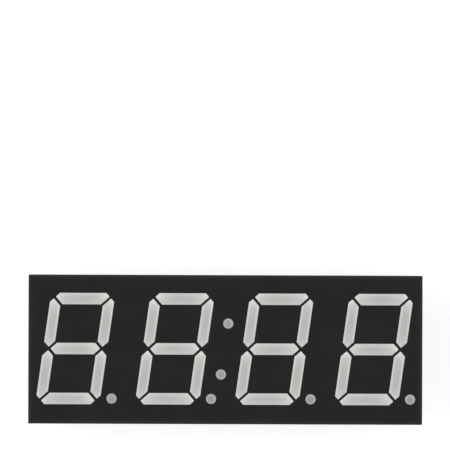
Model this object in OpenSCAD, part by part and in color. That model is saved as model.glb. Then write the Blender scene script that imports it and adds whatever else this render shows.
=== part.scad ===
// Four digit seven segment LED display module with a colon and four decimal points.
// X runs along the row of digits, Y up the digits and Z out of the face.
// The origin is the centre of the rear rim, which seats on a circuit board.

/* [Housing] */
// How much shorter the housing is than its digits' grid, so that housings stand side by side
end_gap = 0.5; // [0:0.1:0.6]
// Height of the housing up the digits
body_w = 19.0; // [16.4:0.1:24]
// Depth of the housing from its rear rim to its face
body_h = 8.0; // [6.5:0.1:12]
// Thickness of the walls round the rear recess
wall_t = 0.75; // [0.6:0.05:1.1]
// Radius of the four upright corners
corner_r = 0.1; // [0.1:0.05:0.5]
// Radius of the four inner corners of the rear recess
recess_r = 0.5; // [0.4:0.05:0.8]
// Radius of the edges round the face
edge_r = 0.15; // [0.1:0.05:0.4]
// Thickness of the face over the cored pockets
face_t = 1.2; // [0.8:0.1:2]
// Least thickness of the reflector block between a well and a pocket
well_wall = 0.6; // [0.4:0.05:0.8]

/* [Digits] */
// Number of digits, in pairs on both sides of the colon
digit_n = 4; // [2:2:4]
// Distance from one digit to the next
digit_pitch = 12.7; // [12.4:0.1:14]
// Height of a lit digit
digit_h = 14.24; // [12:0.02:15]
// Width of a lit digit
digit_w = 8.22; // [7.6:0.02:8.5]
// Slant of the digits in degrees
slant = 8; // [0:0.5:10]
// Sideways offset of the whole pattern from the middle of the face
pattern_x = -0.1; // [-0.2:0.05:0.2]
// Upward offset of the whole pattern from the middle of the face
pattern_y = 0.1; // [-0.2:0.05:0.2]

/* [Segments] */
// Width of the level strokes
stroke_level = 1.49; // [1.2:0.01:1.8]
// Width of the upright strokes
stroke_upright = 1.41; // [1.2:0.01:1.8]
// Gap across the mitre between two segments at an outer corner
corner_gap = 0.29; // [0.15:0.01:0.4]
// Gap across the mitre between the middle stroke and an upright stroke
waist_gap = 0.31; // [0.2:0.01:0.4]
// Gap between the tips of an upper and a lower upright stroke
tip_gap = 0.39; // [0.2:0.01:0.6]
// Length of the slanting cut on each outer corner of a digit
corner_cut = 1.15; // [0.8:0.05:1.5]

/* [Dots] */
// Diameter of the decimal points and of the two dots of the colon
dot_d = 1.32; // [1.2:0.02:1.6]
// Distance of a decimal point from the slanting axis of its digit
point_x = 5.54; // [5.4:0.02:6]
// Distance between the two dots of the colon, up the digit
colon_gap = 6.5; // [5:0.1:8]

/* [Wells] */
// Depth of the straight part of a well, next to the face
land_d = 0.6; // [0.3:0.1:1]
// Draw-in of each end of a segment's well at its bottom
end_draw = 1.6; // [1:0.05:1.8]
// Draw-in of each side of a segment's well at its bottom
side_draw = 0.22; // [0.1:0.02:0.25]
// Draw-in of a dot's well at its bottom
dot_draw = 0.14; // [0:0.02:0.16]

/* [Board] */
// Thickness of the circuit board
board_t = 1.0; // [0.8:0.1:1.6]
// Clearance between the edge of the board and the walls
board_gap = 0.15; // [0.1:0.05:0.25]
// Diameter of the plated holes for the pins
hole_d = 0.8; // [0.76:0.02:1]
// Thickness of the potting over the back of the board
pot_t = 1.0; // [0.7:0.1:1.6]
// Depth of the potting's surface below the rear rim
pot_d = 0.3; // [0.2:0.05:0.5]

/* [Pins] */
// Number of pins in a row
row_pins = 7; // [5:1:8]
// Distance from one pin to the next
pin_pitch = 2.54; // [2:0.02:2.6]
// Distance from a row of pins to the side of the housing
pin_edge = 1.88; // [1.8:0.02:3]
// Diameter of the pins
pin_d = 0.51; // [0.4:0.01:0.55]
// Length of the pins below the rear rim
pin_l = 5.0; // [3:0.1:8]
// Length of the chamfered tip of a pin
pin_tip = 0.2; // [0.1:0.05:0.3]
// Diameter of a solder joint at the board
solder_d = 1.2; // [1.1:0.05:1.25]
// Height of a solder joint below the board
solder_h = 0.6; // [0.4:0.05:0.65]

/* [Chips] */
// Width of a light emitting chip
die_w = 0.3; // [0.2:0.02:0.36]
// Thickness of a light emitting chip
die_t = 0.2; // [0.1:0.02:0.3]
// Width of the squared bond wire
wire_w = 0.03; // [0.02:0.005:0.05]
// Rise of a bond wire over its chip
wire_h = 0.3; // [0.2:0.05:0.4]
// Reach of a bond wire along a segment
wire_reach = 0.7; // [0.5:0.05:0.8]
// Distance from the foot of a bond wire to the wall of a dot's well
foot_gap = 0.15; // [0.1:0.01:0.2]

/* [Hidden] */
$fn = 96;
// How far a cutting shape runs past the face that it cuts
cut = 0.02;
// Thickness of the solder left round the corners of a pin's root
solder_skin = 0.05;
// Straight pieces in the arch of a bond wire
arch_n = 8;
DIGITS = [1 : digit_n];
SEGMENTS = ["a", "b", "c", "d", "e", "f", "g"];
COLON = ["colon_upper_dot", "colon_lower_dot"];
PINS = [1 : 2 * row_pins];

body_l = digit_n * digit_pitch - end_gap;
slope = tan(slant);

// Heights over the rear rim
board_z = pot_d + pot_t;
block_z = board_z + board_t;
land_z = body_h - land_d;

// Distance between the two rows of pins
row_gap = body_w - 2 * pin_edge;

// The root of a pin is swaged square from the same wire, so it has the same section
root_w = pin_d * sqrt(PI) / 2;
solder_tip_r = root_w / sqrt(2) + solder_skin;

bottom_d = dot_d - 2 * dot_draw;
dot_reach = bottom_d / 2 - foot_gap;

// Middle lines of the strokes, from the centre of a digit
mid_u = digit_w / 2 - stroke_upright / 2;
mid_v = digit_h / 2 - stroke_level / 2;

// Lines at 45 degrees that bound the segments, as sums or differences of u and v
corner_half = corner_gap / 2 * sqrt(2);
waist_half = waist_gap / 2 * sqrt(2);
mitre = mid_v - mid_u;
cut_sum = digit_w / 2 + digit_h / 2 - corner_cut;
waist_sum = mid_u + waist_half;
tip_diff = waist_sum - tip_gap;

// A point of a digit's own upright grid, placed on the face with the slant
function place(digit, p) =
  [pattern_x + (digit - (digit_n + 1) / 2) * digit_pitch + p.x + slope * p.y, pattern_y + p.y];

// The corners of the top segment, from its lower left corner clockwise
function level_outline() =
  let (low = digit_h / 2 - stroke_level,
       high = digit_h / 2,
       mitre_up = mitre + corner_half,
       tip = [(cut_sum - mitre_up) / 2, (cut_sum + mitre_up) / 2],
       inner = low - mitre_up,
       outer = cut_sum - high)
  [[-inner, low], [-tip.x, tip.y], [-outer, high], [outer, high], [tip.x, tip.y], [inner, low]];

// The corners of the upper right segment, from its inner upper corner clockwise
function upright_outline() =
  let (inner = digit_w / 2 - stroke_upright,
       outer = digit_w / 2,
       mitre_down = mitre - corner_half)
  [[inner, inner + mitre_down],
   [(cut_sum - mitre_down) / 2, (cut_sum + mitre_down) / 2],
   [outer, cut_sum - outer],
   [outer, outer - tip_diff],
   [(waist_sum + tip_diff) / 2, (waist_sum - tip_diff) / 2],
   [inner, waist_sum - inner]];

// The corners of the middle segment, from its left tip clockwise
function middle_outline() =
  let (half = stroke_level / 2, tip = mid_u - waist_half)
  [[-tip, 0], [half - tip, half], [tip - half, half], [tip, 0], [tip - half, -half], [half - tip, -half]];

// The corners turned over across or along the digit, and still listed clockwise
function flip_u(outline) = [for (i = [len(outline) - 1 : -1 : 0]) [-outline[i].x, outline[i].y]];
function flip_v(outline) = [for (i = [len(outline) - 1 : -1 : 0]) [outline[i].x, -outline[i].y]];

function segment_outline(s) =
  s == "a" ? level_outline() :
  s == "b" ? upright_outline() :
  s == "c" ? flip_v(upright_outline()) :
  s == "d" ? flip_v(level_outline()) :
  s == "e" ? flip_u(flip_v(upright_outline())) :
  s == "f" ? flip_u(upright_outline()) :
  middle_outline();

function is_upright(s) = s == "b" || s == "c" || s == "e" || s == "f";

// The centre of a segment's chip on the digit's own grid
function segment_centre(s) =
  let (end_v = (mid_v + waist_half) / 2)
  s == "a" ? [0, mid_v] :
  s == "b" ? [mid_u, end_v] :
  s == "c" ? [mid_u, -end_v] :
  s == "d" ? [0, -mid_v] :
  s == "e" ? [-mid_u, -end_v] :
  s == "f" ? [-mid_u, end_v] :
  [0, 0];

// How far a corner is drawn in, which is nothing on the middle line that it lies on
function draw(offset, by) = abs(offset) < by ? 0 : offset - sign(offset) * by;

// A segment's outline at the bottom of its well, drawn in towards the chip
function drawn_in(s) =
  let (c = segment_centre(s),
       by_u = is_upright(s) ? side_draw : end_draw,
       by_v = is_upright(s) ? end_draw : side_draw)
  [for (p = segment_outline(s)) [c.x + draw(p.x - c.x, by_u), c.y + draw(p.y - c.y, by_v)]];

// One level of a well's corners on the face's own axes
function ring(digit, outline, z) = [for (p = outline) concat(place(digit, p), z)];

// The tapered body of one segment, with straight ends of length extra for cutting
module segment_body(digit, s, extra) {
  full = segment_outline(s);
  small = drawn_in(s);
  levels = [[body_h + extra, full], [land_z, full], [block_z, small],
            if (extra > 0) [block_z - extra, small]];
  n = len(full);
  last = (len(levels) - 1) * n;
  sides = [for (level = [0 : len(levels) - 2], i = [0 : n - 1])
    let (a = level * n + i, b = level * n + (i + 1) % n)
    each [[a, a + n, b + n], [a, b + n, b]]];
  lids = [for (i = [1 : n - 2]) each [[0, i, i + 1], [last, last + i + 1, last + i]]];
  polyhedron([for (level = levels) each ring(digit, level[1], level[0])], concat(sides, lids));
}

// The tapered body of one round dot, with straight ends of length extra for cutting
module dot_body(at, extra) {
  translate([at.x, at.y, land_z])
    cylinder(h = land_d + extra, d = dot_d);
  translate([at.x, at.y, block_z])
    cylinder(h = land_z - block_z, d1 = bottom_d, d2 = dot_d);
  if (extra > 0)
    translate([at.x, at.y, block_z - extra])
      cylinder(h = extra, d = bottom_d);
}

function point_at(digit) = place(digit, [point_x, -mid_v]);
function colon_at(i) = place((digit_n + 1) / 2, [0, i == 0 ? colon_gap / 2 : -colon_gap / 2]);

// Every pin is numbered from the lower left, and on round the package against the clock
function pin_at(n) =
  let (column = n <= row_pins ? n - 1 : 2 * row_pins - n)
  [(column - (row_pins - 1) / 2) * pin_pitch, n <= row_pins ? -row_gap / 2 : row_gap / 2];

// A rectangle with true round corners
module round_rectangle(l, w, r) {
  square([l, w - 2 * r], center = true);
  square([l - 2 * r, w], center = true);
  for (x = [-1, 1], y = [-1, 1])
    translate([x * (l / 2 - r), y * (w / 2 - r)])
      circle(r);
}

// The end view of the housing, with the two edges of its face rounded
module end_view(w) {
  translate([-w / 2, 0])
    square([w, body_h - edge_r]);
  translate([edge_r - w / 2, 0])
    square([w - 2 * edge_r, body_h]);
  for (x = [-1, 1])
    translate([x * (w / 2 - edge_r), body_h - edge_r])
      circle(edge_r);
}

// The plain block of the housing, rounded at its corners and round its face
module block() {
  intersection() {
    linear_extrude(body_h)
      round_rectangle(body_l, body_w, corner_r);
    rotate([90, 0, 0])
      translate([0, 0, -body_w / 2])
        linear_extrude(body_w)
          end_view(body_l);
    rotate([90, 0, 90])
      translate([0, 0, -body_l / 2])
        linear_extrude(body_l)
          end_view(body_w);
  }
}

// The plan of the rear recess, drawn in by gap
module recess_plan(gap) {
  both_sides = 2 * (wall_t + gap);
  round_rectangle(body_l - both_sides, body_w - both_sides, recess_r - gap);
}

// A slanting four sided plan between two positions across and up a digit
module slanting_plan(digit, left, right, low, high) {
  polygon([for (p = [[left, low], [left, high], [right, high], [right, low]]) place(digit, p)]);
}

// The pocket inside one loop of a digit, upper for way 1 and lower for way -1
module loop_pocket(digit, way) {
  side = digit_w / 2 - stroke_upright - well_wall;
  near = stroke_level / 2 + well_wall;
  far = digit_h / 2 - stroke_level - well_wall;
  slanting_plan(digit, -side, side, min(way * near, way * far), max(way * near, way * far));
}

// The pocket between a digit and the next, clear of the decimal point and of the colon's webs
module between_pocket(digit) {
  left = digit_w / 2 + well_wall;
  right = digit_pitch - digit_w / 2 - well_wall;
  low = dot_d / 2 + well_wall - mid_v;
  high = digit_h / 2 - corner_cut;
  difference() {
    slanting_plan(digit, left, right, low, high);
    for (i = [0, 1])
      translate(colon_at(i))
        square([digit_pitch, dot_d + 2 * well_wall], center = true);
  }
}

module pockets() {
  translate([0, 0, block_z - cut])
    linear_extrude(body_h - face_t - block_z + cut)
      for (digit = DIGITS) {
        loop_pocket(digit, 1);
        loop_pocket(digit, -1);
        if (digit < digit_n)
          between_pocket(digit);
      }
}

module wells() {
  for (digit = DIGITS) {
    for (s = SEGMENTS)
      segment_body(digit, s, cut);
    dot_body(point_at(digit), cut);
  }
  for (i = [0, 1])
    dot_body(colon_at(i), cut);
}

module housing() {
  color("#262628")
    difference() {
      block();
      translate([0, 0, -cut])
        linear_extrude(block_z + cut)
          recess_plan(0);
      pockets();
      wells();
    }
}

// A chip on the board, its base lowered by extra
module die(at, extra) {
  translate([at.x - die_w / 2, at.y - die_w / 2, block_z - extra])
    cube([die_w, die_w, die_t + extra]);
}

// The middle line of a bond wire: up from the top of its chip, over an arch and down to the board
function wire_path(reach) = [for (i = [0 : arch_n])
  let (turn = 180 * i / arch_n)
  [reach * (1 - cos(turn)) / 2, die_t * (1 - i / arch_n) + wire_h * sin(turn)]];

// The direction across a path at one of its points, level at both ends
function across(path, i) =
  i == 0 ? [-1, 0] :
  i == len(path) - 1 ? [1, 0] :
  let (d = path[i + 1] - path[i - 1]) [-d.y, d.x] / norm(d);

// A bond wire that starts on a chip, with its two feet lowered by extra
module wire(at, reach, turn, extra) {
  path = wire_path(reach);
  outline = concat(
    [for (i = [0 : arch_n]) path[i] + across(path, i) * wire_w / 2],
    [for (i = [arch_n : -1 : 0]) path[i] - across(path, i) * wire_w / 2]);
  translate([at.x, at.y, block_z])
    rotate([0, 0, turn])
      translate([0, wire_w / 2, 0])
        rotate([90, 0, 0])
          linear_extrude(wire_w) {
            polygon(outline);
            if (extra > 0)
              for (foot = [path[0], path[arch_n]])
                translate([foot.x - wire_w / 2, foot.y - extra])
                  square([wire_w, extra]);
          }
}

// The bond wire of a segment runs along it
module segment_wire(digit, s, extra) {
  wire(place(digit, segment_centre(s)), wire_reach, is_upright(s) ? 90 - slant : 0, extra);
}

module segment_guide(digit, s) {
  color("#b6b9b5")
    difference() {
      segment_body(digit, s, 0);
      die(place(digit, segment_centre(s)), cut);
      segment_wire(digit, s, cut);
    }
}

module dot_guide(at) {
  color("#989b97")
    difference() {
      dot_body(at, 0);
      die(at, cut);
      wire(at, dot_reach, 0, cut);
    }
}

module digit_dies(digit) {
  color("#c9a227") {
    for (s = SEGMENTS)
      die(place(digit, segment_centre(s)), 0);
    die(point_at(digit), 0);
  }
}

module colon_dies() {
  color("#c9a227")
    for (i = [0, 1])
      die(colon_at(i), 0);
}

module bond_wires() {
  color("#d9b24a") {
    for (digit = DIGITS) {
      for (s = SEGMENTS)
        segment_wire(digit, s, 0);
      wire(point_at(digit), dot_reach, 0, 0);
    }
    for (i = [0, 1])
      wire(colon_at(i), dot_reach, 0, 0);
  }
}

module circuit_board() {
  color("#2f6b46")
    difference() {
      translate([0, 0, board_z])
        linear_extrude(board_t)
          recess_plan(board_gap);
      for (n = PINS)
        translate([pin_at(n).x, pin_at(n).y, board_z - cut])
          cylinder(h = board_t + 2 * cut, d = hole_d);
    }
}

// The squared root of a pin, from the potting's surface to the front of the board
module pin_root(n, extra) {
  translate([pin_at(n).x - root_w / 2, pin_at(n).y - root_w / 2, pot_d - extra])
    cube([root_w, root_w, block_z - pot_d + 2 * extra]);
}

module pin(n) {
  color("#c9cacb") {
    translate([pin_at(n).x, pin_at(n).y, pin_tip - pin_l])
      cylinder(h = pin_l - pin_tip + pot_d, d = pin_d);
    translate([pin_at(n).x, pin_at(n).y, -pin_l])
      cylinder(h = pin_tip, d1 = pin_d - pin_tip, d2 = pin_d);
    pin_root(n, 0);
  }
}

// The cone of solder on the back of the board, round one pin
module solder_cone(n) {
  translate([pin_at(n).x, pin_at(n).y, board_z - solder_h])
    cylinder(h = solder_h, r1 = solder_tip_r, d2 = solder_d);
}

module solder_joints() {
  color("#a9abad")
    for (n = PINS)
      difference() {
        union() {
          solder_cone(n);
          translate([pin_at(n).x, pin_at(n).y, board_z])
            cylinder(h = board_t, d = hole_d);
        }
        pin_root(n, cut);
      }
}

module rear_potting() {
  color("#d8d6cc")
    difference() {
      translate([0, 0, pot_d])
        linear_extrude(block_z - pot_d)
          recess_plan(0);
      translate([0, 0, board_z])
        linear_extrude(board_t + cut)
          recess_plan(board_gap);
      for (n = PINS) {
        pin_root(n, cut);
        solder_cone(n);
      }
    }
}

function segment_name(digit, s) = str("digit_", digit, "_segment_", s);
function point_name(digit) = str("digit_", digit, "_decimal_point");
function dies_name(digit) = str("digit_", digit, "_led_chips");
function pin_name(n) = str("pin_", n);

housing();
for (digit = DIGITS) {
  for (s = SEGMENTS)
    segment_guide(digit, s);
  dot_guide(point_at(digit));
  digit_dies(digit);
}
for (i = [0, 1])
  dot_guide(colon_at(i));
colon_dies();  // colon_led_chips
bond_wires();
circuit_board();
for (n = PINS)
  pin(n);
solder_joints();
rear_potting();
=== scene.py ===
"""Looks of a four digit seven segment display module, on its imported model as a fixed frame.

X runs along the digits, Y up the digits and Z out of the face. The pins stand on the floor.
"""

import math

import bmesh
import bpy
from bpy.props import FloatProperty, FloatVectorProperty, IntProperty, PointerProperty
from mathutils import Matrix, Vector


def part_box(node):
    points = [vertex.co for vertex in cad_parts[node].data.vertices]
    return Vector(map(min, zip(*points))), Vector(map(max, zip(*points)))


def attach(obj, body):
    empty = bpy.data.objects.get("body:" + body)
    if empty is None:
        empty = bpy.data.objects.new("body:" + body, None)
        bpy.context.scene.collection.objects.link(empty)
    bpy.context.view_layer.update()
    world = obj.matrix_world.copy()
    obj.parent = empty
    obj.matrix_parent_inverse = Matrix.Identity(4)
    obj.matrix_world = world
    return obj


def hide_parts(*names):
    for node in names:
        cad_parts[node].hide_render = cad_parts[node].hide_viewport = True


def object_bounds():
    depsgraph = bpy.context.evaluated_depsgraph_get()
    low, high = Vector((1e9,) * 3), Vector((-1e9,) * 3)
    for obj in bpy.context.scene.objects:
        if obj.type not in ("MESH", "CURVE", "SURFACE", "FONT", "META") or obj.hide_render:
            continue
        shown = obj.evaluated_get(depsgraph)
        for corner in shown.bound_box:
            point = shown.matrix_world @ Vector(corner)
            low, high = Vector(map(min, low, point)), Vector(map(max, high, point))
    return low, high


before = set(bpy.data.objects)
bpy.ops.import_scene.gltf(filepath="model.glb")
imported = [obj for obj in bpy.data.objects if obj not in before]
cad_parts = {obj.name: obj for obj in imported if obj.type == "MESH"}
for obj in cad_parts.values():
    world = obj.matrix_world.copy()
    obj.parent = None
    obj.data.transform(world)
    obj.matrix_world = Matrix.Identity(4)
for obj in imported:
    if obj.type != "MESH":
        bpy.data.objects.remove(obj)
CAD_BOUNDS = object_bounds()

bl_info = {
    "name": "Seven Segment Display Looks",
    "version": (1, 0, 0),
    "blender": (4, 5, 0),
    "location": "View3D > Sidebar > Display",
    "description": "Finishes the housing, light guides, resin, pins and board of a seven segment display",
    "category": "Object",
}

MM = 0.001

# Vertices closer than this are one vertex, and heights closer than this are one level
SAME = 0.001 * MM

# A vertex that is closer to the plane of a cut than this lies on it
ON_PLANE = SAME / 10

# Faces that meet at a smaller angle than this are one flat face
FLAT = math.radians(0.2)

# Faces that meet at a sharper angle than this keep a crisp edge
CRISP = math.radians(30)

# A corner of a segment that is sharper than this is one of its tips
TIP_ANGLE = math.radians(110)

# Most values of a noise texture lie in this span
NOISE_SPAN = {"From Min": 0.3, "From Max": 0.7}

# Distance to each side of an edge over which one finish gives way to the other
SEAM = 0.02 * MM

# The bare cut of a pin fades out between these heights over its tip
CUT_FADE = (0.02 * MM, 0.06 * MM)

# Scales of a texture that is drawn out along the pins
DRAWN_OUT = (1.0, 1.0, 0.04)

# Share of the possible places that hold a speck of dust or a bubble
SPECK_SHARE = 0.3

PLASTIC_IOR = 1.5
EPOXY_IOR = 1.52

WHITE = (1.0, 1.0, 1.0, 1.0)

# Directions from the display to the two lamps
KEY_SIDE = (-0.6, 0.15, 1.0)
FILL_SIDE = (0.7, -0.15, 1.0)

# Width of the camera's sensor, in millimetres, and the nearest distance that it sees, in metres
SENSOR_WIDTH = 36
CLIP_START = 0.01

# What the colours and the lengths in the panel have in common
COLOUR = {"subtype": "COLOR", "size": 3, "min": 0, "max": 1}
LENGTH = {"unit": "LENGTH", "precision": 5, "min": 0}

DIGITS = range(1, 5)
LEVEL_SEGMENTS = "adg"
UPRIGHT_SEGMENTS = "bcef"
COLON = ("colon_upper_dot", "colon_lower_dot")
POINTS = tuple(f"digit_{digit}_decimal_point" for digit in DIGITS)
PINS = tuple(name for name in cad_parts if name.startswith("pin_"))
CHIPS = tuple(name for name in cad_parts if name.endswith("_led_chips"))


def linear(srgb):
    """Turns an sRGB hex colour into the linear values that shaders take."""
    shares = [int(srgb[i:i + 2], 16) / 255 for i in (1, 3, 5)]
    return [s / 12.92 if s <= 0.04045 else ((s + 0.055) / 1.055) ** 2.4 for s in shares]


class HousingLook(bpy.types.PropertyGroup):
    """Ink on the outside of the housing and bare plastic inside it."""

    ink: FloatVectorProperty(
        name="Ink", description="Colour of the matte ink on the face and the sides",
        **COLOUR, default=linear("#1b1b1c"))
    # Lighter colour that the ink is drawn with next to the edges of the face
    rim_ink: FloatVectorProperty(
        name="Ink at the rim", description="Colour of the thinner ink next to the edges of the face",
        **COLOUR, default=linear("#333334"))
    dust: FloatVectorProperty(
        name="Dust", description="Colour of the few specks of dust that lie in the ink",
        **COLOUR, default=linear("#343940"))
    plastic: FloatVectorProperty(
        name="Plastic", description="Colour of the bare moulded plastic behind the ink",
        **COLOUR, default=linear("#e6e4dd"))
    # Distance over which the lighter ink at the edges darkens to its full colour
    rim_fade: FloatProperty(
        name="Rim fade", description="Distance from an edge of the face over which the ink thickens",
        **LENGTH, default=0.25 * MM)
    ink_creep: FloatProperty(
        name="Ink creep", description="How far the ink reaches round the rear rim",
        **LENGTH, default=0.16 * MM)
    # Real grain of ink is too fine to show at this size, so it is drawn coarser
    ink_grain: FloatProperty(
        name="Ink grain", description="Size of the fine grain in the ink",
        **LENGTH, default=0.12 * MM)
    dust_spacing: FloatProperty(
        name="Dust spacing", description="Distance between the places where a speck may lie",
        **LENGTH, default=2.6 * MM)
    dust_size: FloatProperty(
        name="Dust size", description="Radius of a speck of dust",
        **LENGTH, default=0.09 * MM)


class GuideLook(bpy.types.PropertyGroup):
    """Milky resin of the segments and dots, lighter where the white walls of the well show through, and with
    painted light and shade on its walls.
    """

    level: FloatVectorProperty(
        name="Level segment", description="Colour along the middle of a level segment",
        **COLOUR, default=linear("#b6b8b5"))
    level_wall: FloatVectorProperty(
        name="Level walls", description="Colour over the side walls of a level segment's well",
        **COLOUR, default=linear("#c8cac6"))
    level_fade: FloatProperty(
        name="Level fade", description="Distance over which a level segment's walls fade to its middle",
        **LENGTH, default=0.24 * MM)
    level_end_fade: FloatProperty(
        name="Level end fade", description="Distance over which the ends of a level segment fade away",
        **LENGTH, default=1.1 * MM)
    upright: FloatVectorProperty(
        name="Upright segment", description="Colour along the middle of an upright segment",
        **COLOUR, default=linear("#b8bab5"))
    # Partly painted light: besides the white wall that shows through, the upright walls are drawn lighter
    # than the level walls, as the lamps at the left and right light them
    upright_wall: FloatVectorProperty(
        name="Upright walls", description="Colour over the side walls of an upright segment's well",
        **COLOUR, default=linear("#d0d2ce"))
    upright_fade: FloatProperty(
        name="Upright fade", description="Distance over which an upright segment's walls fade to its middle",
        **LENGTH, default=0.09 * MM)
    upright_end_fade: FloatProperty(
        name="Upright end fade", description="Distance over which the ends of an upright segment fade away",
        **LENGTH, default=0.74 * MM)
    dot: FloatVectorProperty(
        name="Dot", description="Colour in the middle of a dot",
        **COLOUR, default=linear("#959891"))
    dot_wall: FloatVectorProperty(
        name="Dot wall", description="Colour over the wall of a dot's well",
        **COLOUR, default=linear("#adafab"))
    dot_fade: FloatProperty(
        name="Dot fade", description="Distance over which the wall of a dot fades into its middle",
        **LENGTH, default=0.16 * MM)
    end: FloatVectorProperty(
        name="Segment ends", description="Colour over the sloping ends of a segment's well",
        **COLOUR, default=linear("#dedfdb"))
    # Painted light and shade: how much lighter the upper walls of a well are drawn, and the lower ones
    # darker
    painted_light_lean: FloatProperty(
        name="Lean", description="How much lighter the upper walls of a well are, and the lower ones darker",
        min=0, max=1, default=0.32)
    tip_fill: FloatProperty(
        name="Tip fill", description="How far the ink fills the tips of a segment",
        **LENGTH, default=0.05 * MM)
    ink_lap: FloatProperty(
        name="Ink lap", description="How far the ink of the face laps over the edge of the resin",
        **LENGTH, default=0.017 * MM)
    dish: FloatProperty(
        name="Dish", description="How far the resin has sunk in the middle of its well",
        **LENGTH, default=0.011 * MM)
    dish_width: FloatProperty(
        name="Dish width", description="Distance from the wall over which the resin sinks",
        **LENGTH, default=0.2 * MM)
    dish_rings: IntProperty(
        name="Dish rings", description="Number of rings of faces that round the dish",
        min=1, max=8, default=4)


class ResinLook(bpy.types.PropertyGroup):
    """Potting resin that closes the rear of the housing and creeps up the pins and the walls."""

    resin: FloatVectorProperty(
        name="Resin", description="Colour of thick resin",
        **COLOUR, default=linear("#d9d7cb"))
    board_glow: FloatVectorProperty(
        name="Board glow", description="Colour of thin resin with the board showing through it",
        **COLOUR, default=linear("#c3c8b4"))
    joint_shade: FloatVectorProperty(
        name="Joint shade", description="Colour of the resin over a solder joint",
        **COLOUR, default=linear("#a8aaa3"))
    joint_radius: FloatProperty(
        name="Joint radius", description="Radius of the shade that a solder joint gives",
        **LENGTH, default=0.62 * MM)
    collar_radius: FloatProperty(
        name="Collar radius", description="Radius of the resin that has crept up a pin",
        **LENGTH, default=0.72 * MM)
    collar_rise: FloatProperty(
        name="Collar rise", description="Height to which the resin has crept up a pin",
        **LENGTH, default=0.2 * MM)
    wall_creep: FloatProperty(
        name="Wall creep", description="Width of the resin that has crept up the walls",
        **LENGTH, default=0.26 * MM)
    wall_rise: FloatProperty(
        name="Wall rise", description="Height to which the resin has crept up the walls",
        **LENGTH, default=0.14 * MM)
    creep_steps: IntProperty(
        name="Creep steps", description="Number of rings of faces that round each creep",
        min=2, max=8, default=5)
    collar_sides: IntProperty(
        name="Collar sides", description="Number of faces round a pin",
        min=8, max=48, default=24)
    bubble_spacing: FloatProperty(
        name="Bubble spacing", description="Distance between the places where a bubble may be",
        **LENGTH, default=2.4 * MM)
    bubble_size: FloatProperty(
        name="Bubble size", description="Radius of an open bubble in the resin",
        **LENGTH, default=0.17 * MM)


class MetalLook(bpy.types.PropertyGroup):
    """Pins, solder joints and bond wires."""

    tin: FloatVectorProperty(
        name="Tin", description="Colour of the tin on the pins",
        **COLOUR, default=linear("#c6c6c3"))
    dull_tin: FloatVectorProperty(
        name="Dull tin", description="Colour of the tin where it has dulled",
        **COLOUR, default=linear("#a6a7a5"))
    cut_end: FloatVectorProperty(
        name="Cut end", description="Colour of the bare wire at the cut tip of a pin",
        **COLOUR, default=linear("#b89a72"))
    solder: FloatVectorProperty(
        name="Solder", description="Colour of the solder",
        **COLOUR, default=linear("#bfc0c0"))
    gold: FloatVectorProperty(
        name="Gold", description="Colour of the bond wires",
        **COLOUR, default=linear("#e8c06a"))
    # Real draw marks are too fine to show at this size, so they are drawn coarser
    draw_mark: FloatProperty(
        name="Draw marks", description="Distance between the marks that the drawing die leaves along a pin",
        **LENGTH, default=0.05 * MM)


class BoardLook(bpy.types.PropertyGroup):
    """Circuit board and the light emitting chips on it."""

    mask: FloatVectorProperty(
        name="Solder mask", description="Colour of the solder mask",
        **COLOUR, default=linear("#2d6a45"))
    weave: FloatVectorProperty(
        name="Weave", description="Colour of the glass weave that shows through the mask",
        **COLOUR, default=linear("#3c7c55"))
    pad: FloatVectorProperty(
        name="Pad", description="Colour of the tinned pads round the holes",
        **COLOUR, default=linear("#c8c6bc"))
    crystal: FloatVectorProperty(
        name="Crystal", description="Colour of the crystal of a chip",
        **COLOUR, default=linear("#a8762a"))
    electrode: FloatVectorProperty(
        name="Electrode", description="Colour of the metal on top of a chip",
        **COLOUR, default=linear("#d9bd6c"))
    yarn: FloatProperty(
        name="Yarn", description="Distance between two yarns of the glass cloth",
        **LENGTH, default=0.5 * MM)
    pad_radius: FloatProperty(
        name="Pad radius", description="Radius of the pads round the holes",
        **LENGTH, default=0.75 * MM)


class StageLook(bpy.types.PropertyGroup):
    """Floor, light and camera."""

    floor: FloatVectorProperty(
        name="Floor", description="Colour of the floor",
        **COLOUR, default=linear("#e4e4e4"))
    floor_lift: FloatProperty(
        name="Floor lift", description="Light that the camera sees on the floor beside what falls on it",
        min=0, max=1, default=0.5)
    floor_size: FloatProperty(
        name="Floor size", description="Length of a side of the floor",
        unit="LENGTH", min=0.5, default=6.0)
    sky: FloatProperty(
        name="Sky", description="Strength of the even light from all round",
        min=0, max=1, default=0.6)
    key: FloatProperty(
        name="Key", description="Share of the light on the face that comes from the main lamp",
        min=0, max=1, default=0.24)
    fill: FloatProperty(
        name="Fill", description="Share of the light on the face that comes from the second lamp",
        min=0, max=1, default=0.14)
    lamp_distance: FloatProperty(
        name="Lamp distance", description="Distance of both lamps from the display",
        unit="LENGTH", min=0.1, default=0.7)
    lamp_size: FloatProperty(
        name="Lamp size", description="Length of a side of both lamps",
        unit="LENGTH", min=0.05, default=0.5)
    lens: FloatProperty(
        name="Lens", description="Focal length of the camera, in millimetres",
        min=20, max=1200, default=600)
    view_height: FloatProperty(
        name="View height", description="Height of the picture on the face of the display",
        **LENGTH, default=58.83 * MM)
    view_right: FloatProperty(
        name="View right", description="How far the picture's centre lies to the right of the display's",
        unit="LENGTH", precision=5, default=-0.046 * MM)
    view_up: FloatProperty(
        name="View up", description="How far the picture's centre lies above the display's",
        unit="LENGTH", precision=5, default=15.23 * MM)
    view_turn: FloatProperty(
        name="View turn", description="Turn of the camera against the clock",
        subtype="ANGLE", precision=5, default=math.radians(0.205))


LOOKS = {
    "display_housing": HousingLook,
    "display_guides": GuideLook,
    "display_resin": ResinLook,
    "display_metal": MetalLook,
    "display_board": BoardLook,
    "display_stage": StageLook,
}


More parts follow.
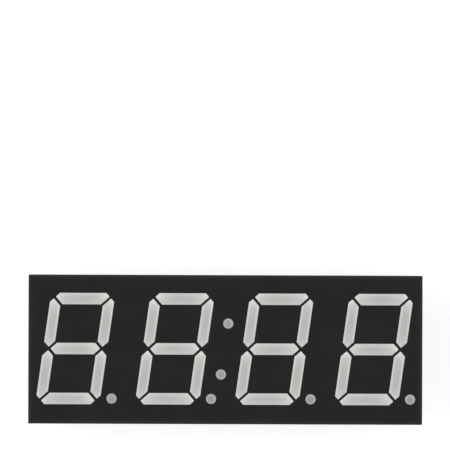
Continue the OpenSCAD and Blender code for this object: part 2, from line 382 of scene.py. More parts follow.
def cad_node(name):
    """The object of a CAD node, or a plain error if the frame has none of that name."""
    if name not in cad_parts:
        raise RuntimeError(f"the packed model has no node named {name}")
    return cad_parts[name]


def pin_axes():
    """Where the pins cross the rear of the display, as X and Y."""
    middles = [(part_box(name)[0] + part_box(name)[1]) / 2 for name in PINS]
    return [middle.xy for middle in middles]


def pin_radius():
    """Radius of the round shank of a pin."""
    low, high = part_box(PINS[0])
    return (high.x - low.x) / 2


def slant_axis():
    """Direction up a slanting digit, which the two dots of the colon share."""
    lower, upper = [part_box(name)[0].xy for name in reversed(COLON)]
    return (upper - lower).normalized()


def socket(sockets, key):
    """The socket with that number, or the one in use with that name."""
    if isinstance(key, int):
        return sockets[key]
    return next(s for s in sockets if s.enabled and s.name == key)


def fill(tree, node, inputs):
    """Sets or links a node's inputs.

    An input takes a value, a node for its first output in use, or a node with an output's name.
    """
    for key, value in inputs.items():
        target = socket(node.inputs, key)
        if isinstance(value, bpy.types.Node):
            tree.links.new(next(s for s in value.outputs if s.enabled), target)
        elif isinstance(value, tuple) and isinstance(value[0], bpy.types.Node):
            tree.links.new(socket(value[0].outputs, value[1]), target)
        else:
            target.default_value = value


def add(tree, kind, inputs, **settings):
    """Adds a shader node with its settings and its inputs."""
    node = tree.nodes.new("ShaderNode" + kind)
    for name, value in settings.items():
        setattr(node, name, value)
    fill(tree, node, inputs)
    return node


def start(name):
    """A new material, with its nodes and its shader."""
    material = bpy.data.materials.new(name)
    material.use_nodes = True
    tree = material.node_tree
    return material, tree, tree.nodes["Principled BSDF"]


def rgba(colour):
    """A colour with full opacity, as the inputs of a shader take it."""
    return (*colour, 1.0)


def fade(tree, distance, reach):
    """1 at no distance, falling off by a factor of e over each reach."""
    share = add(tree, "Math", {0: distance, 1: -reach}, operation="DIVIDE")
    return add(tree, "Math", {0: share}, operation="EXPONENT")


def specks(tree, position, spacing, radius, kept):
    """1 in small round spots, in the given share of places that lie about one spacing apart."""
    cells = add(tree, "TexVoronoi", {"Vector": position, "Scale": 1 / spacing})
    near = add(tree, "MapRange", {"Value": (cells, "Distance"), "From Min": radius / spacing,
                                  "From Max": 0.5 * radius / spacing})
    chance = add(tree, "SeparateColor", {"Color": (cells, "Color")})
    chosen = add(tree, "Math", {0: (chance, "Red"), 1: kept}, operation="LESS_THAN")
    return add(tree, "Math", {0: near, 1: chosen}, operation="MULTIPLY")


def pin_distance(tree, position):
    """Distance of a point from the axis of the nearest pin, in a shader."""
    axes = pin_axes()
    columns = sorted({round(axis.x / SAME) for axis in axes})
    pitch = (columns[1] - columns[0]) * SAME
    last = columns[-1] * SAME
    row = max(axis.y for axis in axes)
    split = add(tree, "SeparateXYZ", {"Vector": position})
    to_column = add(tree, "Math", {0: (split, "X"), 1: pitch / 2}, operation="PINGPONG")
    far_x = add(tree, "Math", {0: (split, "X")}, operation="ABSOLUTE")
    past_last = add(tree, "Math", {0: far_x, 1: last}, operation="SUBTRACT")
    across = add(tree, "Math", {0: to_column, 1: past_last}, operation="MAXIMUM")
    far_y = add(tree, "Math", {0: (split, "Y")}, operation="ABSOLUTE")
    along = add(tree, "Math", {0: far_y, 1: row}, operation="SUBTRACT")
    offset = add(tree, "CombineXYZ", {"X": across, "Y": along})
    return add(tree, "VectorMath", {"Vector": offset}, operation="LENGTH")


def inked_polycarbonate(look):
    """Moulded white polycarbonate, sprayed outside with matte black ink.

    The ink hardly shines and has a fine grain. It ends in a wavy line on the rear rim, and the
    bare plastic behind it is a warm white with a soft moulded gloss.
    """
    name = "matte_ink_on_white_polycarbonate"
    if name in bpy.data.materials:
        return bpy.data.materials[name]
    material, tree, shader = start(name)
    low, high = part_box("housing")
    position = (add(tree, "TexCoord", {}), "Object")
    folded = add(tree, "VectorMath", {0: position}, operation="ABSOLUTE")
    inward = add(tree, "VectorMath", {0: high, 1: folded}, operation="SUBTRACT")
    depth = add(tree, "SeparateXYZ", {"Vector": inward})
    from_side = add(tree, "Math", {0: (depth, "X"), 1: (depth, "Y")}, operation="MINIMUM")
    from_outside = add(tree, "Math", {0: from_side, 1: (depth, "Z")}, operation="MINIMUM")

    wave = add(tree, "TexNoise", {"Vector": position, "Scale": 1 / (0.9 * MM), "Detail": 3.0})
    creep = add(tree, "MapRange",
                {"Value": wave, **NOISE_SPAN,
                 "To Min": 0.5 * look.ink_creep, "To Max": 1.5 * look.ink_creep})
    inside = add(tree, "Math", {0: from_outside, 1: creep}, operation="SUBTRACT")
    bare = add(tree, "MapRange", {"Value": inside, "From Min": -SEAM, "From Max": SEAM})

    cloud = add(tree, "TexNoise", {"Vector": position, "Scale": 1 / (4 * MM), "Detail": 4.0})
    grain = add(tree, "TexNoise", {"Vector": position, "Scale": 1 / look.ink_grain, "Detail": 2.0})
    shade = add(tree, "Math", {0: cloud, 1: grain}, operation="ADD")
    tone = add(tree, "MapRange",
               {"Value": shade, "From Min": 0.6, "From Max": 1.4, "To Min": 0.82, "To Max": 1.18})
    # The ink is drawn lighter next to the edges of the face, and darker to its full colour further in
    thin = fade(tree, from_side, look.rim_fade)
    ink = add(tree, "Mix", {"Factor": thin, "A": rgba(look.ink), "B": rgba(look.rim_ink)}, data_type="RGBA")
    toned_ink = add(tree, "VectorMath", {0: ink, "Scale": tone}, operation="SCALE")
    dusty = specks(tree, position, look.dust_spacing, look.dust_size, SPECK_SHARE)
    dusted_ink = add(tree, "Mix", {"Factor": dusty, "A": toned_ink, "B": rgba(look.dust)}, data_type="RGBA")
    flow = add(tree, "MapRange",
               {"Value": cloud, **NOISE_SPAN, "To Min": 0.95, "To Max": 1.03})
    plastic = add(tree, "VectorMath", {0: tuple(look.plastic), "Scale": flow}, operation="SCALE")
    colour = add(tree, "Mix", {"Factor": bare, "A": dusted_ink, "B": plastic}, data_type="RGBA")

    dull = add(tree, "MapRange",
               {"Value": grain, **NOISE_SPAN, "To Min": 0.58, "To Max": 0.72})
    roughness = add(tree, "Mix", {"Factor": bare, "A": dull, "B": 0.38})
    relief = add(tree, "Bump", {"Height": grain, "Strength": 0.35, "Distance": 0.012 * MM})
    fill(tree, shader, {"Base Color": colour, "Roughness": roughness, "Normal": relief,
                        "IOR": PLASTIC_IOR, "Specular IOR Level": 0.12})
    return material


def milky_epoxy(kind, look, round_spot=False):
    """Epoxy with a little white filler, cast in a well against a smooth film.

    It has a satin shine and a few soft clouds. The white walls of the well show through it, so it is
    lighter next to them. Painted light makes it lighter still next to the upper walls, and painted
    shade darker next to the lower ones. The mesh says where a point lies: spot is its place from the
    middle of the well, with its share of the way up the well as the third value, and reach is how far
    the well goes.
    """
    material, tree, shader = start("milky_epoxy_" + kind)
    middle = rgba(getattr(look, kind))
    # The upright walls' colour holds painted light from the lamps at the left and right, on top of the white
    # wall that shows through
    wall = rgba(getattr(look, kind + "_wall"))
    wall_fade = getattr(look, kind + "_fade")
    position = (add(tree, "TexCoord", {}), "Object")
    spot = (add(tree, "Attribute", {}, attribute_name="spot"), "Vector")
    reach = (add(tree, "Attribute", {}, attribute_name="reach"), "Vector")
    place = add(tree, "SeparateXYZ", {"Vector": spot})
    # Painted light and shade: the walls are drawn lighter towards the top of the well and darker towards its
    # bottom
    painted_wall_light = add(tree, "MapRange", {"Value": (place, "Z"), "From Min": -1.0,
                                 "To Min": 1.0 - look.painted_light_lean, "To Max": 1.0 + look.painted_light_lean})
    if round_spot:
        flat_spot = add(tree, "CombineXYZ", {"X": (place, "X"), "Y": (place, "Y")})
        radius = add(tree, "VectorMath", {0: flat_spot}, operation="LENGTH")
        split = add(tree, "SeparateXYZ", {"Vector": reach})
        from_wall = add(tree, "Math", {0: (split, "X"), 1: radius}, operation="SUBTRACT")
        near_wall = add(tree, "Math", {0: fade(tree, from_wall, wall_fade), 1: painted_wall_light}, operation="MULTIPLY")
        colour = add(tree, "Mix", {"Factor": near_wall, "A": middle, "B": wall}, data_type="RGBA")
    else:
        end_fade = getattr(look, kind + "_end_fade")
        folded = add(tree, "VectorMath", {0: spot}, operation="ABSOLUTE")
        inward = add(tree, "VectorMath", {0: reach, 1: folded}, operation="SUBTRACT")
        split = add(tree, "SeparateXYZ", {"Vector": inward})
        near_wall = add(tree, "Math", {0: fade(tree, (split, "Y"), wall_fade), 1: painted_wall_light}, operation="MULTIPLY")
        near_end = add(tree, "Math", {0: fade(tree, (split, "X"), end_fade), 1: painted_wall_light}, operation="MULTIPLY")
        walled = add(tree, "Mix", {"Factor": near_wall, "A": middle, "B": wall}, data_type="RGBA")
        colour = add(tree, "Mix", {"Factor": near_end, "A": walled, "B": rgba(look.end)}, data_type="RGBA")
    cloud = add(tree, "TexNoise", {"Vector": position, "Scale": 1 / (1.1 * MM), "Detail": 3.0})
    tone = add(tree, "MapRange",
               {"Value": cloud, **NOISE_SPAN, "To Min": 0.975, "To Max": 1.025})
    clouded = add(tree, "VectorMath", {0: colour, "Scale": tone}, operation="SCALE")
    wear = add(tree, "MapRange",
               {"Value": cloud, **NOISE_SPAN, "To Min": 0.3, "To Max": 0.4})
    film = add(tree, "TexNoise", {"Vector": position, "Scale": 1 / (0.35 * MM), "Detail": 2.0})
    relief = add(tree, "Bump", {"Height": film, "Strength": 0.2, "Distance": 0.004 * MM})
    fill(tree, shader, {"Base Color": clouded, "Roughness": wear, "Normal": relief, "IOR": EPOXY_IOR,
                        "Specular IOR Level": 0.35, "Subsurface Weight": 0.08,
                        "Subsurface Scale": 0.3 * MM})
    return material


def potting_epoxy(look):
    """Milky epoxy, poured over the back of the board and left to level itself.

    It sets glossy, with slow waves and a few open bubbles, drawn darker inside as painted shade. The
    board tints it where it is thin, and every solder joint makes a grey spot under its pin.
    """
    material, tree, shader = start("poured_milky_epoxy")
    position = (add(tree, "TexCoord", {}), "Object")
    cloud = add(tree, "TexNoise", {"Vector": position, "Scale": 1 / (5 * MM), "Detail": 3.0})
    thin = add(tree, "MapRange", {"Value": cloud, "From Min": 0.35, "From Max": 0.68})
    colour = add(tree, "Mix", {"Factor": thin, "A": rgba(look.resin), "B": rgba(look.board_glow)},
                 data_type="RGBA")
    shaded = add(tree, "MapRange",
                 {"Value": pin_distance(tree, position), "From Min": 1.4 * look.joint_radius,
                  "From Max": 0.7 * look.joint_radius, "To Max": 0.6})
    over_joints = add(tree, "Mix", {"Factor": shaded, "A": colour, "B": rgba(look.joint_shade)},
                      data_type="RGBA")
    bubbles = specks(tree, position, look.bubble_spacing, look.bubble_size, SPECK_SHARE)
    # Painted shade: the colour is darkened inside every open bubble
    bubble_shade = add(tree, "MapRange", {"Value": bubbles, "To Min": 1.0, "To Max": 0.82})
    final = add(tree, "VectorMath", {0: over_joints, "Scale": bubble_shade}, operation="SCALE")
    wave = add(tree, "TexNoise", {"Vector": position, "Scale": 1 / (3.5 * MM), "Detail": 1.0})
    level = add(tree, "Bump", {"Height": wave, "Strength": 0.5, "Distance": 0.08 * MM})
    dents = add(tree, "Bump", {"Height": bubbles, "Strength": 0.8, "Distance": 0.08 * MM, "Normal": level},
                invert=True)
    fill(tree, shader, {"Base Color": final, "Roughness": 0.2, "Normal": dents, "IOR": EPOXY_IOR,
                        "Subsurface Weight": 0.1, "Subsurface Scale": 0.5 * MM})
    return material


def tinned_wire(look):
    """Round copper-clad wire, drawn and hot tinned, then cut to length.

    It is bright with fine marks along it, dulls in patches, and shows bare wire at the cut tip.
    """
    material, tree, shader = start("hot_tinned_drawn_wire")
    position = (add(tree, "TexCoord", {}), "Object")
    drawn = add(tree, "Mapping", {"Vector": position, "Scale": DRAWN_OUT})
    marks = add(tree, "TexNoise", {"Vector": drawn, "Scale": 1 / look.draw_mark, "Detail": 3.0})
    patches = add(tree, "TexNoise", {"Vector": position, "Scale": 1 / (2.5 * MM), "Detail": 1.0})
    dulled = add(tree, "MapRange", {"Value": patches, "From Min": 0.45, "From Max": 0.75})
    tin = add(tree, "Mix", {"Factor": dulled, "A": rgba(look.tin), "B": rgba(look.dull_tin)},
              data_type="RGBA")
    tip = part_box(PINS[0])[0].z
    split = add(tree, "SeparateXYZ", {"Vector": position})
    cut = add(tree, "MapRange",
              {"Value": (split, "Z"), "From Min": tip + CUT_FADE[1], "From Max": tip + CUT_FADE[0]})
    colour = add(tree, "Mix", {"Factor": cut, "A": tin, "B": rgba(look.cut_end)}, data_type="RGBA")
    shine = add(tree, "Mix", {"Factor": dulled, "A": 0.22, "B": 0.42})
    relief = add(tree, "Bump", {"Height": marks, "Strength": 0.15, "Distance": 0.004 * MM})
    fill(tree, shader, {"Base Color": colour, "Metallic": 1.0, "Roughness": shine, "Normal": relief})
    return material


def tin_solder(look):
    """Tin solder that has frozen in place: bright, with a fine frosted grain."""
    material, tree, shader = start("frosted_tin_solder")
    position = (add(tree, "TexCoord", {}), "Object")
    # Real frost on solder is too fine to show at this size, so it is drawn coarser
    frost = add(tree, "TexNoise", {"Vector": position, "Scale": 1 / (0.08 * MM), "Detail": 3.0})
    tone = add(tree, "MapRange",
               {"Value": frost, **NOISE_SPAN, "To Min": 0.8, "To Max": 1.0})
    colour = add(tree, "VectorMath", {0: tuple(look.solder), "Scale": tone}, operation="SCALE")
    shine = add(tree, "MapRange",
                {"Value": frost, **NOISE_SPAN, "To Min": 0.25, "To Max": 0.5})
    relief = add(tree, "Bump", {"Height": frost, "Strength": 0.4, "Distance": 0.01 * MM})
    fill(tree, shader, {"Base Color": colour, "Metallic": 1.0, "Roughness": shine, "Normal": relief})
    return material


def gold_bond_wire(look):
    """Fine gold wire, smooth and bright, a little dulled by the heat of bonding."""
    material, tree, shader = start("drawn_gold_wire")
    position = (add(tree, "TexCoord", {}), "Object")
    heat = add(tree, "TexNoise", {"Vector": position, "Scale": 1 / (0.2 * MM), "Detail": 2.0})
    tone = add(tree, "MapRange",
               {"Value": heat, **NOISE_SPAN, "To Min": 0.85, "To Max": 1.0})
    colour = add(tree, "VectorMath", {0: tuple(look.gold), "Scale": tone}, operation="SCALE")
    shine = add(tree, "MapRange",
                {"Value": heat, **NOISE_SPAN, "To Min": 0.3, "To Max": 0.18})
    fill(tree, shader, {"Base Color": colour, "Metallic": 1.0, "Roughness": shine})
    return material


def glass_epoxy_board(look):
    """Glass cloth in epoxy under a green solder mask, with tinned pads round the holes.

    The cloth shows through the glossy mask as a faint checked weave.
    """
    material, tree, shader = start("masked_glass_epoxy")
    position = (add(tree, "TexCoord", {}), "Object")
    split = add(tree, "SeparateXYZ", {"Vector": position})
    warp = add(tree, "Math", {0: (split, "X"), 1: look.yarn}, operation="PINGPONG")
    weft = add(tree, "Math", {0: (split, "Y"), 1: look.yarn}, operation="PINGPONG")
    crossing = add(tree, "Math", {0: warp, 1: weft}, operation="ADD")
    height = add(tree, "Math", {0: crossing, 1: 0.5 / look.yarn}, operation="MULTIPLY")
    cloth = add(tree, "Mix", {"Factor": height, "A": rgba(look.mask), "B": rgba(look.weave)},
                data_type="RGBA")
    tinned = add(tree, "MapRange",
                 {"Value": pin_distance(tree, position), "From Min": look.pad_radius + SEAM,
                  "From Max": look.pad_radius - SEAM})
    colour = add(tree, "Mix", {"Factor": tinned, "A": cloth, "B": rgba(look.pad)}, data_type="RGBA")
    roughness = add(tree, "Mix", {"Factor": tinned, "A": 0.3, "B": 0.35})
    relief = add(tree, "Bump", {"Height": height, "Strength": 0.3, "Distance": 0.01 * MM})
    fill(tree, shader, {"Base Color": colour, "Metallic": tinned, "Roughness": roughness, "Normal": relief})
    return material


def chip_crystal(look):
    """Sawn crystal of a light emitting chip, amber at its rough sides, under a metal electrode."""
    material, tree, shader = start("sawn_chip_crystal")
    position = (add(tree, "TexCoord", {}), "Object")
    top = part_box(CHIPS[0])[1].z
    split = add(tree, "SeparateXYZ", {"Vector": position})
    metal = add(tree, "MapRange",
                {"Value": (split, "Z"), "From Min": top - SEAM, "From Max": top - SEAM / 2})
    # Real saw marks are too fine to show at this size, so they are drawn coarser
    saw = add(tree, "TexNoise", {"Vector": position, "Scale": 1 / (0.03 * MM), "Detail": 2.0})
    tone = add(tree, "MapRange",
               {"Value": saw, **NOISE_SPAN, "To Min": 0.85, "To Max": 1.05})
    crystal = add(tree, "VectorMath", {0: tuple(look.crystal), "Scale": tone}, operation="SCALE")
    colour = add(tree, "Mix", {"Factor": metal, "A": crystal, "B": rgba(look.electrode)}, data_type="RGBA")
    roughness = add(tree, "Mix", {"Factor": metal, "A": 0.5, "B": 0.25})
    fill(tree, shader, {"Base Color": colour, "Metallic": metal, "Roughness": roughness})
    return material


def dress(names, material):
    """Gives CAD nodes a material."""
    for name in names:
        slots = cad_node(name).material_slots
        if not slots:
            raise RuntimeError(f"the CAD node {name} has no material slot")
        for slot in slots:
            slot.material = material


def merged_copy(name):
    """A bmesh of a CAD node, with its loose triangles joined and its flat faces made whole."""
    bm = bmesh.new()
    bm.from_mesh(cad_node(name).data)
    bmesh.ops.remove_doubles(bm, verts=bm.verts, dist=SAME)
    bmesh.ops.dissolve_limit(bm, angle_limit=FLAT, verts=bm.verts, edges=bm.edges)
    return bm


def dish_rings(bm, face, width, depth, rings):
    """Sinks a face below its edge in rings that round off into a level middle."""
    sunk = 0.0
    for ring in range(1, rings + 1):
        target = depth * (1 - (1 - ring / rings) ** 2)
        bmesh.ops.inset_individual(
            bm, faces=[face], thickness=width / rings, depth=sunk - target, use_even_offset=True)
        sunk = target


def lap_ink(bm, face, width):
    """Gives a narrow ring inside the edge of a face to the second material of its piece."""
    ring = bmesh.ops.inset_individual(bm, faces=[face], thickness=width, use_even_offset=True)["faces"]
    for lapped in ring:
        lapped.material_index = 1


def ink_tips(bm, tips, reach):
    """Cuts the dish across at every tip, and gives what lies beyond the cut to the second material."""
    for tip in tips:
        dish = [face for face in tip.link_faces if face.material_index == 0]
        crease = next(edge for edge in tip.link_edges if all(face in dish for face in edge.link_faces))
        inward = (crease.other_vert(tip).co - tip.co).normalized()
        geom = dict.fromkeys(item for face in dish for item in (face, *face.edges, *face.verts))
        bmesh.ops.bisect_plane(bm, geom=list(geom), dist=ON_PLANE,
                               plane_co=tip.co + inward * reach, plane_no=inward)
        for face in tip.link_faces:
            face.material_index = 1


def crisp_edges(bm):
    """Shades round faces smoothly and keeps an edge between faces that meet at an angle."""
    for face in bm.faces:
        face.smooth = True
    for edge in bm.edges:
        edge.smooth = edge.is_manifold and edge.calc_face_angle(0.0) < CRISP


def finish_piece(bm, name, replaced, materials):
    """Makes the bmesh a closed piece of the display that stands for a CAD node."""
    open_edges = [edge for edge in bm.edges if not edge.is_manifold]
    if open_edges:
        raise RuntimeError(f"{name} has {len(open_edges)} edges that don't close")
    bmesh.ops.recalc_face_normals(bm, faces=bm.faces)
    crisp_edges(bm)
    mesh = bpy.data.meshes.new(name)
    bm.to_mesh(mesh)
    bm.free()
    for material in materials:
        mesh.materials.append(material)
    piece = bpy.data.objects.new(name, mesh)
    bpy.context.scene.collection.objects.link(piece)
    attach(piece, "root")
    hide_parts(replaced)


def mark_spots(bm, face, along):
    """Stores on every vertex its place from the middle of the well, and how far the well goes."""
    across = Vector((along.y, -along.x))

    def place(vert):
        return Vector((vert.co.xy.dot(along), vert.co.xy.dot(across), vert.co.y))

    places = [place(vert) for vert in face.verts]
    low = Vector(min(values) for values in zip(*places))
    high = Vector(max(values) for values in zip(*places))
    middle = (low + high) / 2
    half = (high - low) / 2
    spot = bm.verts.layers.float_vector.new("spot")
    reach = bm.verts.layers.float_vector.new("reach")
    for vert in bm.verts:
        offset = place(vert) - middle
        vert[spot] = (offset.x, offset.y, offset.z / half.z)
        vert[reach] = half


def cast_guide(name, look, materials, along):
    """One light guide, cast in its well with a slightly sunk face and inked at its edge."""
    bm = merged_copy(name)
    face = max(bm.faces, key=lambda f: f.calc_center_median().z)
    mark_spots(bm, face, along)
    lap_ink(bm, face, look.ink_lap)
    tips = [loop.vert for loop in face.loops if loop.calc_angle() < TIP_ANGLE]
    dish_rings(bm, face, look.dish_width, look.dish, look.dish_rings)
    ink_tips(bm, tips, look.tip_fill)
    finish_piece(bm, name + "_resin", name, materials)


def creep_profile(steps, width, rise):
    """Offsets and heights of resin that has crept up a wall, from the wall out to the level resin."""
    shares = [step / steps for step in range(steps + 1)]
    return [(width * share, rise * (1 - share) ** 2) for share in shares]


def creep_up_walls(bm, edges, look):
    """Draws the resin up the wall at a loop of edges and levels it in rings. Returns the inner loop."""
    drawn = bmesh.ops.extrude_edge_only(bm, edges=edges)["geom"]
    top_verts = [item for item in drawn if isinstance(item, bmesh.types.BMVert)]
    top_edges = [item for item in drawn if isinstance(item, bmesh.types.BMEdge)]
    bmesh.ops.translate(bm, verts=top_verts, vec=(0, 0, -look.wall_rise))
    face = bmesh.ops.contextual_create(bm, geom=top_edges)["faces"][0]
    face.normal_update()
    if face.normal.z > 0:
        face.normal_flip()
    profile = creep_profile(look.creep_steps, look.wall_creep, look.wall_rise)
    for near, far in zip(profile, profile[1:]):
        bmesh.ops.inset_individual(
            bm, faces=[face], thickness=far[0] - near[0], depth=far[1] - near[1], use_even_offset=True)
    loop = list(face.edges)
    bmesh.ops.delete(bm, geom=[face], context="FACES_ONLY")
    return loop


def creep_up_pin(bm, axis, level, hole_edges, look):
    """Spins the collar of resin round a pin and joins it to the hole for the pin's root."""
    start_radius = pin_radius() - SAME
    width = look.collar_radius - start_radius
    profile = creep_profile(look.creep_steps, width, look.collar_rise)
    verts = [bm.verts.new((axis.x + start_radius + out, axis.y, level - up)) for out, up in profile]
    edges = [bm.edges.new(pair) for pair in zip(verts, verts[1:])]
    bmesh.ops.spin(bm, geom=verts + edges, cent=(axis.x, axis.y, 0), axis=(0, 0, 1),
                   angle=2 * math.pi, steps=look.collar_sides, use_merge=True)

    def ring(radius):
        return [edge for edge in bm.edges if edge.is_boundary and all(
            abs((vert.co.xy - axis).length - radius) < SAME for vert in edge.verts)]

    bmesh.ops.bridge_loops(bm, edges=ring(start_radius) + hole_edges)
    return ring(look.collar_radius)


class DISPLAY_OT_housing(bpy.types.Operator):
    """Inks the outside of the housing and leaves its recess and wells bare."""

    bl_idname = "display_looks.housing"
    bl_label = "Ink Housing"

    def execute(self, context):
        dress(["housing"], inked_polycarbonate(context.scene.display_housing))
        return {"FINISHED"}


class DISPLAY_OT_segment_guides(bpy.types.Operator):
    """Casts the seven light guides of every digit."""

    bl_idname = "display_looks.segment_guides"
    bl_label = "Cast Segments"

    def execute(self, context):
        look = context.scene.display_guides
        ink = inked_polycarbonate(context.scene.display_housing)
        for kind, segments, along in (("level", LEVEL_SEGMENTS, Vector((1, 0))),
                                      ("upright", UPRIGHT_SEGMENTS, slant_axis())):
            materials = [milky_epoxy(kind, look), ink]
            for digit in DIGITS:
                for segment in segments:
                    cast_guide(f"digit_{digit}_segment_{segment}", look, materials, along)
        return {"FINISHED"}


class DISPLAY_OT_dot_guides(bpy.types.Operator):
    """Casts the light guides of the decimal points and of the colon."""

    bl_idname = "display_looks.dot_guides"
    bl_label = "Cast Dots"

    def execute(self, context):
        look = context.scene.display_guides
        resin = milky_epoxy("dot", look, round_spot=True)
        materials = [resin, inked_polycarbonate(context.scene.display_housing)]
        for name in POINTS + COLON:
            cast_guide(name, look, materials, Vector((1, 0)))
        return {"FINISHED"}


class DISPLAY_OT_rear_potting(bpy.types.Operator):
    """Pours the resin that closes the rear, creeping up the walls and round every pin."""

    bl_idname = "display_looks.rear_potting"
    bl_label = "Pour Potting"

    def execute(self, context):
        look = context.scene.display_resin
        bm = bmesh.new()
        bm.from_mesh(cad_node("rear_potting").data)
        bmesh.ops.remove_doubles(bm, verts=bm.verts, dist=SAME)
        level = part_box("rear_potting")[0].z
        surface = [face for face in bm.faces if all(abs(vert.co.z - level) < SAME for vert in face.verts)]
        bmesh.ops.delete(bm, geom=surface, context="FACES")
        rims = [edge for edge in bm.edges if edge.is_boundary]
        collars = []
        for axis in pin_axes():
            hole = [edge for edge in rims if (edge.verts[0].co.xy - axis).length < look.collar_radius]
            rims = [edge for edge in rims if edge not in hole]
            collars += creep_up_pin(bm, axis, level, hole, look)
        inner = creep_up_walls(bm, rims, look)
        bmesh.ops.triangle_fill(bm, use_beauty=True, edges=inner + collars, normal=(0, 0, -1))
        finish_piece(bm, "rear_potting_resin", "rear_potting", [potting_epoxy(look)])
        return {"FINISHED"}


class DISPLAY_OT_pins(bpy.types.Operator):
    """Tins the pins."""

    bl_idname = "display_looks.pins"
    bl_label = "Tin Pins"

    def execute(self, context):
        dress(PINS, tinned_wire(context.scene.display_metal))
        return {"FINISHED"}


class DISPLAY_OT_solder_joints(bpy.types.Operator):
    """Finishes the solder joints round the roots of the pins."""

    bl_idname = "display_looks.solder_joints"
    bl_label = "Finish Solder"

    def execute(self, context):
        dress(["solder_joints"], tin_solder(context.scene.display_metal))
        return {"FINISHED"}


class DISPLAY_OT_circuit_board(bpy.types.Operator):
    """Finishes the circuit board."""

    bl_idname = "display_looks.circuit_board"
    bl_label = "Finish Board"

    def execute(self, context):
        dress(["circuit_board"], glass_epoxy_board(context.scene.display_board))
        return {"FINISHED"}


class DISPLAY_OT_chips(bpy.types.Operator):
    """Finishes the light emitting chips and their bond wires."""

    bl_idname = "display_looks.chips"
    bl_label = "Finish Chips"

    def execute(self, context):
        dress(CHIPS, chip_crystal(context.scene.display_board))
        dress(["bond_wires"], gold_bond_wire(context.scene.display_metal))
        return {"FINISHED"}


def background_share(tree):
    """1 for a ray that looks at the background, straight, in a reflection or through glass."""
    path = add(tree, "LightPath", {})
    seen = add(tree, "Math", {0: (path, "Is Camera Ray"), 1: (path, "Is Glossy Ray")}, operation="MAXIMUM")
    return add(tree, "Math", {0: seen, 1: (path, "Is Transmission Ray")}, operation="MAXIMUM")


def pale_floor(look):
    """Matte white card. It takes the display's shadow, and looks white to the camera elsewhere."""
    material, tree, shader = start("matte_white_card")
    position = (add(tree, "TexCoord", {}), "Object")
    fibre = add(tree, "TexNoise", {"Vector": position, "Scale": 1 / (1.5 * MM), "Detail": 2.0})
    tone = add(tree, "MapRange",
               {"Value": fibre, **NOISE_SPAN, "To Min": 0.985, "To Max": 1.0})
    colour = add(tree, "VectorMath", {0: tuple(look.floor), "Scale": tone}, operation="SCALE")
    lift = add(tree, "Math", {0: background_share(tree), 1: look.floor_lift}, operation="MULTIPLY")
    fill(tree, shader, {"Base Color": colour, "Roughness": 0.9, "Specular IOR Level": 0.0,
                        "Emission Color": WHITE, "Emission Strength": lift})
    return material


def lay_floor(look):
    """Lays the floor under the tips of the pins."""
    bm = bmesh.new()
    height = CAD_BOUNDS[0].z - SAME
    bmesh.ops.create_grid(bm, x_segments=1, y_segments=1, size=look.floor_size / 2,
                          matrix=Matrix.Translation((0, 0, height)))
    mesh = bpy.data.meshes.new("floor")
    bm.to_mesh(mesh)
    bm.free()
    mesh.materials.append(pale_floor(look))
    floor = bpy.data.objects.new("floor", mesh)
    bpy.context.scene.collection.objects.link(floor)


def light_sky(look):
    """Even light from all round, in front of a white background."""
    world = bpy.data.worlds.new("white_studio")
    world.use_nodes = True
    tree = world.node_tree
    strength = add(tree, "MapRange", {"Value": background_share(tree), "To Min": look.sky, "To Max": 1.0})
    fill(tree, tree.nodes["Background"], {"Color": WHITE, "Strength": strength})
    bpy.context.scene.world = world


def hang_lamp(name, look, share, direction):
    """Hangs a square lamp that gives its share of the light on the face of the display."""
    direction = Vector(direction).normalized()
    data = bpy.data.lights.new(name, "AREA")
    data.shape = "SQUARE"
    data.size = look.lamp_size
    # A lamp this far away lights a level face to 1 with this power, at its slant
    data.energy = share * (math.pi * look.lamp_distance) ** 2 / direction.z
    lamp = bpy.data.objects.new(name, data)
    lamp.location = direction * look.lamp_distance
    lamp.rotation_euler = direction.to_track_quat("Z", "Y").to_euler()
    bpy.context.scene.collection.objects.link(lamp)


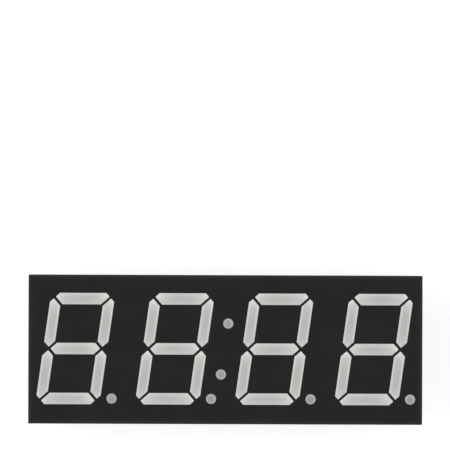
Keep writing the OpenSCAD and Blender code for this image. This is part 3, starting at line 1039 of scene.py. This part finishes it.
def set_camera(look):
    """Looks straight down on the face, a little above its centre, as a long lens does."""
    data = bpy.data.cameras.new("camera")
    data.lens = look.lens
    data.sensor_width = SENSOR_WIDTH
    data.clip_start = CLIP_START
    distance = look.lens / data.sensor_width * look.view_height
    camera = bpy.data.objects.new("camera", data)
    turn = Matrix.Rotation(look.view_turn, 3, "Z")
    centre = turn @ Vector((look.view_right, look.view_up, 0))
    camera.location = centre + Vector((0, 0, CAD_BOUNDS[1].z + distance))
    camera.rotation_euler = turn.to_euler()
    bpy.context.scene.collection.objects.link(camera)
    bpy.context.scene.camera = camera


class DISPLAY_OT_stage(bpy.types.Operator):
    """Sets the floor, the light and the camera."""

    bl_idname = "display_looks.stage"
    bl_label = "Set Stage"

    def execute(self, context):
        look = context.scene.display_stage
        lay_floor(look)
        light_sky(look)
        hang_lamp("key_lamp", look, look.key, KEY_SIDE)
        hang_lamp("fill_lamp", look, look.fill, FILL_SIDE)
        set_camera(look)
        context.scene.view_settings.view_transform = "Standard"
        return {"FINISHED"}


OPERATORS = (
    DISPLAY_OT_housing,
    DISPLAY_OT_segment_guides,
    DISPLAY_OT_dot_guides,
    DISPLAY_OT_rear_potting,
    DISPLAY_OT_pins,
    DISPLAY_OT_solder_joints,
    DISPLAY_OT_circuit_board,
    DISPLAY_OT_chips,
    DISPLAY_OT_stage,
)


class DISPLAY_PT_looks(bpy.types.Panel):
    """Lists the steps that finish the display, and the sizes and colours they use."""

    bl_label = "Display Looks"
    bl_space_type = "VIEW_3D"
    bl_region_type = "UI"
    bl_category = "Display"

    def draw(self, context):
        for operator in OPERATORS:
            self.layout.operator(operator.bl_idname)
        for name, group in LOOKS.items():
            box = self.layout.box()
            for prop in group.__annotations__:
                box.prop(getattr(context.scene, name), prop)


CLASSES = (*LOOKS.values(), *OPERATORS, DISPLAY_PT_looks)


def register():
    for cls in CLASSES:
        bpy.utils.register_class(cls)
    for name, group in LOOKS.items():
        setattr(bpy.types.Scene, name, PointerProperty(type=group))


def unregister():
    for name in LOOKS:
        delattr(bpy.types.Scene, name)
    for cls in reversed(CLASSES):
        bpy.utils.unregister_class(cls)


def main():
    """Finishes the whole display."""
    register()
    looks = bpy.ops.display_looks
    looks.housing()
    looks.segment_guides()
    looks.dot_guides()
    looks.rear_potting()
    looks.pins()
    looks.solder_joints()
    looks.circuit_board()
    looks.chips()
    looks.stage()


if __name__ == "__main__":
    main()
